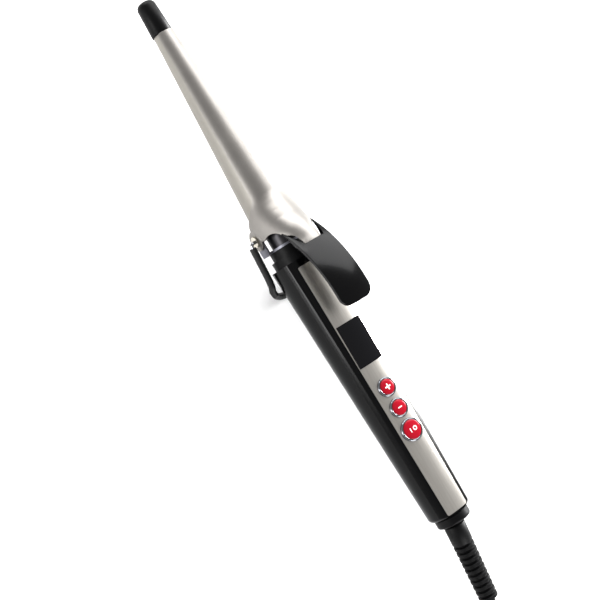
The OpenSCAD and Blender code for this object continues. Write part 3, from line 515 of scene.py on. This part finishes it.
# ---------------------------------------------------------------- thumb lever
def lever_pad():
    """Glossy pad: bent along its length, crowned across it, with two horns beside the tongue."""
    bm = bmesh.new()
    columns = 40        # on each side of the middle
    stations = 60
    faces = []
    for layer in (0, 1):
        rows = []
        for i in range(stations + 1):
            row = []
            for k in range(2 * columns + 1):
                x = LEVER_HALF * (k / columns - 1)
                reach = max(0, abs(x) - HORN_FROM) / (LEVER_HALF - HORN_FROM)
                front = LEVER_FRONT + HORN_LENGTH * reach ** 1.25
                corner = max(0, abs(x) - (LEVER_HALF - LEVER_CORNER))
                rear = LEVER_REAR + LEVER_CORNER - math.sqrt(max(0, LEVER_CORNER ** 2 - corner * corner))
                at = front + (rear - front) * (i / stations)
                on_horn = at >= LEVER_FRONT
                thick = LEVER_THICK - (2.5 * min(1, (at - LEVER_FRONT) / 11) if on_horn else 0)
                crown = LEVER_CROWN * (x / LEVER_HALF) ** 2
                flat_back = 0 if on_horn else crown
                radius = LEVER_R - crown - (thick - flat_back if layer else 0)
                row.append(bm.verts.new(place(x, at, lever_height(at, radius))))
            rows.append(row)
        grid_faces(bm, rows)
        faces.append(rows)
    rims = []
    for rows in faces:
        near = [r[-1] for r in rows[1:]]
        far = [r[0] for r in rows[-2:0:-1]]
        rims.append(rows[0] + near + rows[-1][-2::-1] + far)
    top, low = rims
    for i in range(len(top)):
        j = (i + 1) % len(top)
        bm.faces.new((top[i], top[j], low[j], low[i]))
    bmesh.ops.recalc_face_normals(bm, faces=bm.faces)
    edges = [e for e in bm.edges if len(e.link_faces) == 2 and e.calc_face_angle(0) > math.radians(50)]
    bmesh.ops.bevel(bm, geom=edges, offset=0.45 * MM, offset_type="OFFSET", segments=3, profile=0.5,
                    affect="EDGES", material=-1, clamp_overlap=True)
    dress(shape("lever_pad", bm, GLOSS), "clamp", "handle_plastic", "thumb_lever")


lever_pad()


# ---------------------------------------------------------------- buttons and their rings
TOP_TILT = math.atan(TOP_SHARE * HANDLE_TAPER)
FRONT_TOP = TOP_SHARE * HANDLE_R


def layer_h(at, lift):
    """Height over the axis of the handle's curved top, or of a layer lifted from it."""
    return FRONT_TOP - TOP_R + (at - HANDLE_FRONT) * math.tan(TOP_TILT) + (TOP_R + lift) / math.cos(TOP_TILT)


def bar(bm, middle, length, width, height, top, turn=0):
    """A printed bar on a cap: a thin box whose top is just proud of the dome."""
    spot = Matrix.Translation(place(middle[0], middle[1], top - height / 2)) @ Matrix.Rotation(turn, 4, "Z")
    size = Matrix.Diagonal((length * MM, width * MM, height * MM, 1))
    bmesh.ops.create_cube(bm, size=1, matrix=spot @ size)


def ring_mark(bm, middle, radius, width, height, top):
    """A printed ring on a cap."""
    profile = [(radius - width, -height), (radius, -height), (radius, 0), (radius - width, 0),
               (radius - width, -height)]
    join(bm, turned(profile, place(middle[0], middle[1], top), (0, 0, 1), 40))


def button(name, at, diameter):
    """Domed cap with a captive rim, and its white mark; chrome_rings makes the chrome ring round it."""
    r = diameter / 2
    top = layer_h(at, PANEL_LIFT) + RING_RISE
    rim_r = r + CAP_RIM
    rim_top = layer_h(at, -WALL) - 0.25 - rim_r * rim_r / 2 / (TOP_R - WALL)
    base = (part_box(name)[0].z - axis_z) / MM
    profile = [(0, base), (rim_r, base), (rim_r, rim_top), (r, rim_top)]
    # distance inward from the edge, or share of the radius, each with the height over the ring
    edge = [(0, -0.55), (0.05, -0.3), (0.2, -0.1), (0.5, 0.05)]
    dome = [(0.75, 0.2), (0.5, 0.37), (0.25, 0.47), (0, 0.5)]
    profile += [(r - inward, top + over) for inward, over in edge]
    profile += [(r * share, top + over) for share, over in dome]
    cap = turned(profile, place(0, at, 0), (0, 0, 1), 80)
    dress(shape(name + "_cap", cap, RED), BODY_OF[name], "button_red", name)
    marks = bmesh.new()
    proud = top + 0.53
    if name == "button_plus":
        bar(marks, (0, at), 3.6, 0.7, 0.3, proud)
        bar(marks, (0, at), 0.7, 3.6, 0.3, proud - 0.004)
    elif name == "button_minus":
        bar(marks, (0, at), 2.6, 0.6, 0.3, proud)
    else:
        bar(marks, (-1.5, at), 0.55, 2.5, 0.3, proud - 0.03)
        ring_mark(marks, (1.5, at), 1.3, 0.55, 0.3, proud - 0.03)
    dress(shape(name + "_mark", marks, WHITE), BODY_OF[name], "button_red")


for button_name, button_at, button_d in BUTTONS:
    button(button_name, button_at, button_d)


def chrome_rings():
    """Bevelled chrome rings, seated on the curved panel."""
    bm = bmesh.new()
    for _, at, diameter in BUTTONS:
        inner = diameter / 2 + CAP_PLAY
        outer = inner + RING_WIDTH
        top = layer_h(at, PANEL_LIFT) + RING_RISE
        low = layer_h(at, PANEL_LIFT) - outer * outer / 2 / TOP_R + 0.05
        profile = [(inner, low), (outer, low), (outer, top - 0.75), (outer - 0.1, top - 0.5),
                   (outer - 0.4, top - 0.12), (outer - 0.65, top), (inner + 0.2, top), (inner, top - 0.15),
                   (inner, low)]
        join(bm, turned(profile, place(0, at, 0), (0, 0, 1), 80))
    dress(shape("chrome_rings", bm, CHROME), "root", "bezel_chrome", "button_bezels")


chrome_rings()


# ---------------------------------------------------------------- strain relief, tip and end ring
def ribbed_relief():
    """Moulded relief: a smooth collar, then ribs with rounded edges."""
    def radius(d):
        """Radius at a distance along the relief, which narrows to its end."""
        return RELIEF_R - 0.65 * d / RELIEF_LENGTH

    first_groove = 12.0
    start = RELIEF_FROM
    profile = [(0, start), (RELIEF_R - 0.2, start), (RELIEF_R, start + 0.25)]
    profile += [(radius(first_groove - 0.3), start + first_groove - 0.3),
                (radius(first_groove) - 0.2, start + first_groove)]
    d = first_groove
    while d < RELIEF_LENGTH - 2.5:
        deep = radius(d) - GROOVE_DEPTH
        profile += [(deep, start + d + 0.12), (deep, start + d + GROOVE_WIDTH - 0.12)]
        end = min(d + RIB_PITCH, RELIEF_LENGTH)
        r = radius(d + 2.6)
        profile += [(r - 0.3, start + d + GROOVE_WIDTH + 0.05), (r - 0.05, start + d + GROOVE_WIDTH + 0.3),
                    (r, start + (d + GROOVE_WIDTH + end) / 2), (r - 0.05, start + end - 0.3),
                    (r - 0.3, start + end - 0.05)]
        d += RIB_PITCH
    profile += [(3.2, start + RELIEF_LENGTH), (0, start + RELIEF_LENGTH)]
    relief = turned(profile, swivel_at, strain_axis, 72)
    dress(shape("ribbed_relief", relief, RUBBER), "cord_swivel", "relief_rubber", "strain_relief")


def capped_tip():
    """Heat-proof tip with a domed end and a fine ring where it meets the barrel."""
    dome_at = TIP_END - TIP_DOME
    profile = [(0, BARREL_END + 0.05), (TIP_R - 0.15, BARREL_END + 0.05), (TIP_R, BARREL_END + 0.25),
               (TIP_END_R + 0.05, dome_at)]
    dome_r = TIP_END_R - TIP_DOME
    for t in range(15, 91, 15):
        angle = math.radians(t)
        profile.append((dome_r + TIP_DOME * math.cos(angle), dome_at + TIP_DOME * math.sin(angle)))
    profile.append((0, TIP_END))
    tip = turned(profile, place(0, 0, 0), (0, 1, 0), 72)
    dress(shape("capped_tip", tip, SATIN), "root", "tip_plastic", "cool_tip")


ribbed_relief()
capped_tip()


# ---------------------------------------------------------------- camera
# The camera looks down on the lever's side, turned 27 degrees off its normal, with the tip at the
# upper left; the lens takes in 334 mm at the iron.
VIEW_TURN = math.radians(27)
VIEW_ROLL = math.radians(31)
back = Vector((-math.sin(VIEW_TURN), 0, math.cos(VIEW_TURN)))
across = Vector((math.cos(VIEW_TURN), 0, math.sin(VIEW_TURN)))
along = Vector((0, 1, 0))
right = math.cos(VIEW_ROLL) * across - math.sin(VIEW_ROLL) * along
up = back.cross(right)
camera_data = bpy.data.cameras.new("camera")
camera_data.lens = 70
camera_data.sensor_width = 36
camera_data.clip_end = 10
camera = bpy.data.objects.new("camera", camera_data)
bpy.context.scene.collection.objects.link(camera)
target = place(0, -40.1, 0) - across * 10.6 * MM
CAMERA_DISTANCE = 0.65
turn = Matrix((right, up, back)).transposed().to_4x4()
camera.matrix_world = Matrix.Translation(target + back * CAMERA_DISTANCE) @ turn
bpy.context.scene.camera = camera


CORD_D = 0.006
cord_exit = swivel_at + strain_axis * (RELIEF_FROM + RELIEF_LENGTH + 0.05) * MM
lead_route = [(0.3, -208.7, 6.4), (1.2, -212.9, 5.7), (2.7, -217.1, 5.1), (4.5, -221.3, 4.6),
              (6.8, -225.5, 4.2), (9.3, -229.7, 3.8), (12, -233.8, 3.5), (14.7, -237.9, 3.3),
              (17.2, -242.1, 3.2), (19.5, -246.3, 3.1), (21.3, -250.5, 3), (22.8, -254.6, 3),
              (23.7, -258.8, 3)]
tail_route = [(18, -268, 15), (17.7, -271.9, 15.15), (17.1, -275.7, 15.6), (16, -279.6, 16.3),
              (14.6, -283.4, 17.1), (12.9, -287.3, 18.2), (11, -291.2, 19.4), (9, -295, 20.6),
              (7, -298.8, 21.9), (5.1, -302.7, 23.1), (3.4, -306.6, 24.2), (2, -310.4, 25.1),
              (0.9, -314.3, 25.7), (0.3, -318.1, 26.1), (0, -322, 26.3)]
HANK_START = -263
HANK_RUN = 98.5
FOLD = math.pi * 21     # a fold's length at the middle of the two columns
# radius and height of each turn, from the lead to the tail
HANK_TURNS = [(24, 3), (18, 3), (18, 9), (24, 9), (24, 15), (18, 15)]
# stretch of the loop, in mm from its start, over which each turn steps to the next one's place
HANK_STEPS = [(266, 318), (241, 266), (216, 241), (191, 216), (166, 191)]


def hank_points(spacing=7):
    """Folded turns: down the right run, round the far fold, up the left run, round the near fold."""
    points = []
    loop = 2 * HANK_RUN + 2 * FOLD
    for turn, (start, stop) in enumerate(HANK_STEPS):
        (radius, height), (to_radius, to_height) = HANK_TURNS[turn:turn + 2]
        count = round(loop / spacing)
        for i in range(count):
            d = loop * i / count
            share = min(1, max(0, (d - start) / (stop - start)))
            share = (1 - math.cos(math.pi * share)) / 2
            r = radius + (to_radius - radius) * share
            z = height + (to_height - height) * share
            if d < HANK_RUN:
                x, y = r, -d
            elif d < HANK_RUN + FOLD:
                angle = math.pi * (d - HANK_RUN) / FOLD
                x, y = r * math.cos(angle), -HANK_RUN - r * math.sin(angle)
            elif d < 2 * HANK_RUN + FOLD:
                x, y = -r, d - 2 * HANK_RUN - FOLD
            else:
                angle = math.pi * (d - 2 * HANK_RUN - FOLD) / FOLD
                x, y = -r * math.cos(angle), r * math.sin(angle)
            points.append(Vector((x, HANK_START + y, z)) * MM)
    return points


cord_points = [cord_exit, cord_exit + strain_axis * 0.006, cord_exit + strain_axis * 0.011]
cord_points += [Vector(p) * MM for p in lead_route]
cord_points += hank_points()
cord_points += [Vector(p) * MM for p in tail_route]
cord_curve = bpy.data.curves.new("power_cord", "CURVE")
cord_curve.dimensions = "3D"
cord_curve.bevel_depth = CORD_D / 2
cord_curve.bevel_resolution = 5
cord_curve.use_fill_caps = True
cord_curve.resolution_u = 3
spline = cord_curve.splines.new("BEZIER")
spline.bezier_points.add(len(cord_points) - 1)
for bezier, point in zip(spline.bezier_points, cord_points):
    bezier.co = point
    bezier.handle_left_type = bezier.handle_right_type = "AUTO"
cord_curve.materials.append(RUBBER)
power_cord = bpy.data.objects.new("power_cord", cord_curve)
bpy.context.scene.collection.objects.link(power_cord)
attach(power_cord, "root")
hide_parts("cord_lead", "cord_hank", "cord_tail")


# ---------------------------------------------------------------- floor, lights, world
def studio():
    """A plain pale floor under soft boxes and an even white sky."""
    bm = bmesh.new()
    bmesh.ops.create_grid(bm, x_segments=1, y_segments=1, size=2.5)
    mesh = bpy.data.meshes.new("floor")
    bm.to_mesh(mesh)
    bm.free()
    floor = bpy.data.objects.new("floor", mesh)
    floor.location.z = -0.0005
    bpy.context.scene.collection.objects.link(floor)
    mesh.materials.append(finish("pale_floor", "#fbfbfb", roughness=0.9)[0])
    world = bpy.data.worlds.new("studio")
    bpy.context.scene.world = world
    world.use_nodes = True
    world.node_tree.nodes["Background"].inputs["Color"].default_value = (1, 1, 1, 1)
    world.node_tree.nodes["Background"].inputs["Strength"].default_value = 0.58
    bpy.context.scene.view_settings.view_transform = "Standard"
    bpy.context.scene.view_settings.look = "Medium High Contrast"
    # Place, size and power of each soft box. The key is low on the right, so that the flat tops,
    # which mirror the sky above the camera, stay dark. The others keep its shadow pale.
    key = ((1.4, -0.05, 0.3), 0.5, 48)
    left = ((-1.5, 0.1, 0.4), 0.6, 9)
    tip_end = ((0.0, 1.45, 0.6), 0.8, 13)
    cord_end = ((0.0, -1.45, 0.6), 0.8, 13)
    over_tip = ((0.9, 1.0, 0.9), 1.3, 26)
    boxes = [key, left, tip_end, cord_end, over_tip]
    for i, (spot, size, power) in enumerate(boxes):
        data = bpy.data.lights.new(f"softbox_{i}", "AREA")
        data.shape = "SQUARE"
        data.size = size
        data.energy = power
        lamp = bpy.data.objects.new(f"softbox_{i}", data)
        lamp.location = spot
        lamp.rotation_euler = (Vector(spot) - Vector((0, 0, 0.02))).to_track_quat("Z", "Y").to_euler()
        bpy.context.scene.collection.objects.link(lamp)


studio()
